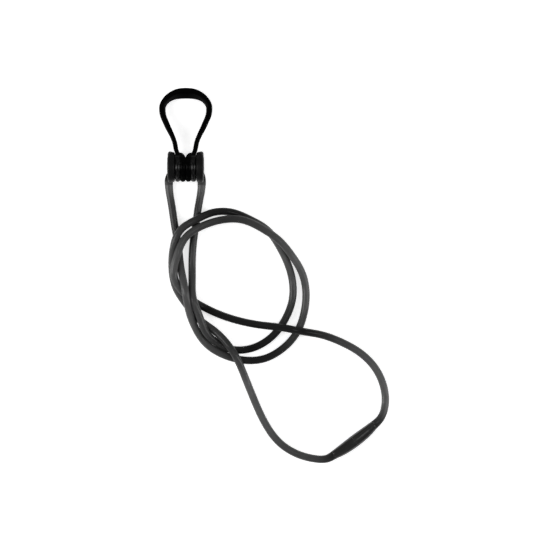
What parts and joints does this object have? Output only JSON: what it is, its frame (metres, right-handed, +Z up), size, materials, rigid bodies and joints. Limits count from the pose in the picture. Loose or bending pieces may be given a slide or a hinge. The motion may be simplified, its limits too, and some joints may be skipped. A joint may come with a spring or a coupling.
{
  "type": "eyeglass retainer strap",
  "caption": "Soft neck cord whose ends turn on a small barrel that carries a ribbed rubber loop for one temple of a pair of glasses, with a snap joint that lets the cord come apart.",
  "frame": {"origin": "middle of the base of the barrel, eyelets and temple loop together, on the surface it lies on", "axes": "+X along the barrel to the right, +Y from the barrel through the temple loop, +Z up from the surface; the neck cord lies towards -Y"},
  "size_m": [0.0914, 0.1495, 0.0126],
  "materials": {
    "rubber": "matte black rubber",
    "cap": "smooth black rubber",
    "eyelet": "smooth smoke-black silicone",
    "cord": "satin smoke-grey silicone",
    "joint": "semi-gloss smoke-black silicone",
    "core": "black acetal",
    "steel": "turned stainless steel"
  },
  "bodies": {
    "strap": {"eyelet_left": "eyelet", "eyelet_right": "eyelet", "eyelet_barb_left": "steel", "eyelet_barb_right": "steel", "neck_cord_left": "cord", "neck_cord_right": "cord", "joint_socket": "joint", "socket_barb": "steel"},
    "loop": {"temple_loop": "rubber", "barrel": "core", "barrel_pin": "steel", "end_cap_left": "cap", "end_cap_right": "cap"},
    "plug": {"joint_plug": "joint", "snap_pin": "steel", "plug_barb": "steel"}
  },
  "joints": [
    {"name": "loop_swing", "type": "hinge", "parent": "strap", "child": "loop", "pos_m": [0, -0.0125, 0.0063], "axis": [1, 0, 0], "range_deg": [-100, 150]},
    {"name": "release", "type": "slide", "parent": "strap", "child": "plug", "axis": [-0.8, -0.6, 0], "range_m": [0, 0.008], "deforming": ["neck_cord_right"]}
  ]
}
